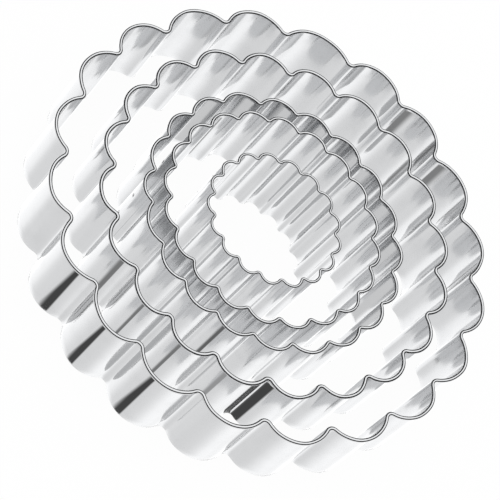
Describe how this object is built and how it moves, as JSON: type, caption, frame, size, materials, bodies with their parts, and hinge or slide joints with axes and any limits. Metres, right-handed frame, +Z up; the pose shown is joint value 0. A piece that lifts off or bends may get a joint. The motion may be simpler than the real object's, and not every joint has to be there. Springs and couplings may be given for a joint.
{
  "type": "biscuit cutter",
  "caption": "Nested set of round fluted biscuit cutters in polished stainless steel strip, each with a rolled rim and a lapped, spot-welded seam.",
  "frame": {"origin": "centre of the largest cutter, level with the cutting edges that the set stands on", "axes": "+Z up, from the cutting edges to the rolled rims; +X right and +Y back for someone in front of the set"},
  "size_m": [0.1146, 0.1159, 0.021],
  "materials": {
    "polished_strip": "mirror-polished stainless steel",
    "rolled_rim": "polished stainless steel, dulled a little by rolling",
    "spot_weld": "satin grey weld spot"
  },
  "bodies": {
    "largest_cutter": {"largest_band": "polished_strip", "largest_rolled_rim": "rolled_rim", "largest_lap_welds": "spot_weld"},
    "large_cutter": {"large_band": "polished_strip", "large_rolled_rim": "rolled_rim", "large_lap_welds": "spot_weld"},
    "medium_cutter": {"medium_band": "polished_strip", "medium_rolled_rim": "rolled_rim", "medium_lap_welds": "spot_weld"},
    "small_cutter": {"small_band": "polished_strip", "small_rolled_rim": "rolled_rim", "small_lap_welds": "spot_weld"},
    "smallest_cutter": {"smallest_band": "polished_strip", "smallest_rolled_rim": "rolled_rim", "smallest_lap_welds": "spot_weld"}
  },
  "joints": [
    {"name": "large_cutter_lift", "type": "slide", "parent": "largest_cutter", "child": "large_cutter", "axis": [0, 0, 1], "range_m": [0, 0.03]},
    {"name": "medium_cutter_lift", "type": "slide", "parent": "largest_cutter", "child": "medium_cutter", "axis": [0, 0, 1], "range_m": [0, 0.03]},
    {"name": "small_cutter_lift", "type": "slide", "parent": "largest_cutter", "child": "small_cutter", "axis": [0, 0, 1], "range_m": [0, 0.03]},
    {"name": "smallest_cutter_lift", "type": "slide", "parent": "largest_cutter", "child": "smallest_cutter", "axis": [0, 0, 1], "range_m": [0, 0.03]}
  ]
}
